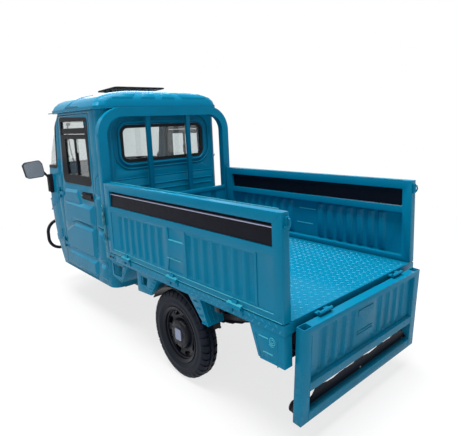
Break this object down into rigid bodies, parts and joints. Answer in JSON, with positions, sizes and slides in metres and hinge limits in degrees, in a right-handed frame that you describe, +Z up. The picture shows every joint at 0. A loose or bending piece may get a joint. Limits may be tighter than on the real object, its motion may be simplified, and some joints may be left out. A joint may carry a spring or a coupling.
{
  "type": "electric cargo tricycle",
  "caption": "Three-wheeled electric cargo vehicle with a closed cab, a drop-side bed with hanging tailgate and a steered front wheel.",
  "frame": {"origin": "on the ground under the middle of the vehicle's overall length and width", "axes": "+X forwards along the length, +Y to the vehicle's left, +Z up from the ground"},
  "size_m": [3.4228, 1.57, 1.8921],
  "materials": {
    "teal_paint": "gloss teal blue paint",
    "black_paint": "semi-gloss black paint",
    "tyre_rubber": "matt black rubber",
    "clear_glass": "clear glass with a black border",
    "black_rubber": "matt black rubber",
    "black_plastic": "grained black plastic",
    "seat_vinyl": "black vinyl with sewn channels",
    "bare_steel": "zinc plated steel",
    "lamp_red": "red lamp lens",
    "lamp_clear": "clear lamp lens",
    "mirror_silver": "silvered mirror glass"
  },
  "bodies": {
    "root": {"chassis_frame": "black_paint", "rear_axle": "black_paint", "leaf_springs": "black_paint", "wheel_guards": "black_paint", "bed_floor": "teal_paint", "bed_brackets": "teal_paint", "corner_brackets": "teal_paint", "tail_lamps": "lamp_red", "front_board": "teal_paint", "headache_rack": "teal_paint", "latch_rods": "bare_steel", "cab_floor": "black_paint", "cab_rear_wall": "teal_paint", "cab_side_left": "teal_paint", "cab_side_right": "teal_paint", "cab_nose": "teal_paint", "dash_panel": "black_plastic", "roof": "teal_paint", "windscreen": "clear_glass", "rear_window": "clear_glass", "window_seals": "black_rubber", "seat_base": "black_paint", "seat_cushion": "seat_vinyl", "seat_backrest": "seat_vinyl", "headlamps": "lamp_clear", "front_guard": "black_paint", "mirrors": "black_plastic", "mirror_glass": "mirror_silver"},
    "side_board_left": {"side_board_left": "teal_paint", "side_strip_left": "black_paint"},
    "side_board_right": {"side_board_right": "teal_paint", "side_strip_right": "black_paint"},
    "tailgate": {"tailgate": "teal_paint", "tailgate_strip": "black_paint", "tailgate_buffers": "black_rubber"},
    "door_left": {"door_left": "teal_paint", "door_glass_left": "clear_glass", "door_trim_left": "black_plastic"},
    "door_right": {"door_right": "teal_paint", "door_glass_right": "clear_glass", "door_trim_right": "black_plastic"},
    "roof_hatch": {"roof_hatch": "black_plastic"},
    "steering": {"front_fork": "black_paint", "front_mudguard": "teal_paint", "handlebar": "black_plastic"},
    "front_wheel": {"front_tyre": "tyre_rubber", "front_rim": "black_paint"},
    "rear_wheel_left": {"rear_tyre_left": "tyre_rubber", "rear_rim_left": "black_paint"},
    "rear_wheel_right": {"rear_tyre_right": "tyre_rubber", "rear_rim_right": "black_paint"}
  },
  "joints": [
    {"name": "side_board_left", "type": "hinge", "parent": "root", "child": "side_board_left", "pos_m": [-0.78261, 0.612, 0.66], "axis": [-1, 0, 0], "range_deg": [0, 180]},
    {"name": "side_board_right", "type": "hinge", "parent": "root", "child": "side_board_right", "pos_m": [-0.78261, -0.612, 0.66], "axis": [1, 0, 0], "range_deg": [0, 180]},
    {"name": "tailgate", "type": "hinge", "parent": "root", "child": "tailgate", "pos_m": [-1.67261, 0, 0.66], "axis": [0, 1, 0], "range_deg": [-3, 184]},
    {"name": "door_left", "type": "hinge", "parent": "root", "child": "door_left", "pos_m": [1.11939, 0.549, 0.9], "axis": [0, 0, -1], "range_deg": [0, 70]},
    {"name": "door_right", "type": "hinge", "parent": "root", "child": "door_right", "pos_m": [1.11939, -0.549, 0.9], "axis": [0, 0, 1], "range_deg": [0, 70]},
    {"name": "roof_hatch", "type": "hinge", "parent": "root", "child": "roof_hatch", "pos_m": [0.84239, 0, 1.868], "axis": [0, 1, 0], "range_deg": [-1.2, 28]},
    {"name": "steering", "type": "hinge", "parent": "root", "child": "steering", "pos_m": [1.27939, 0, 0.28], "axis": [-0.3746, 0, 0.9272], "range_deg": [-38, 38]},
    {"name": "front_wheel", "type": "hinge", "parent": "steering", "child": "front_wheel", "pos_m": [1.27939, 0, 0.28], "axis": [0, 1, 0], "continuous": true},
    {"name": "rear_wheel_left", "type": "hinge", "parent": "root", "child": "rear_wheel_left", "pos_m": [-0.71568, 0.515, 0.28], "axis": [0, 1, 0], "continuous": true},
    {"name": "rear_wheel_right", "type": "hinge", "parent": "root", "child": "rear_wheel_right", "pos_m": [-0.71568, -0.515, 0.28], "axis": [0, 1, 0], "continuous": true}
  ]
}
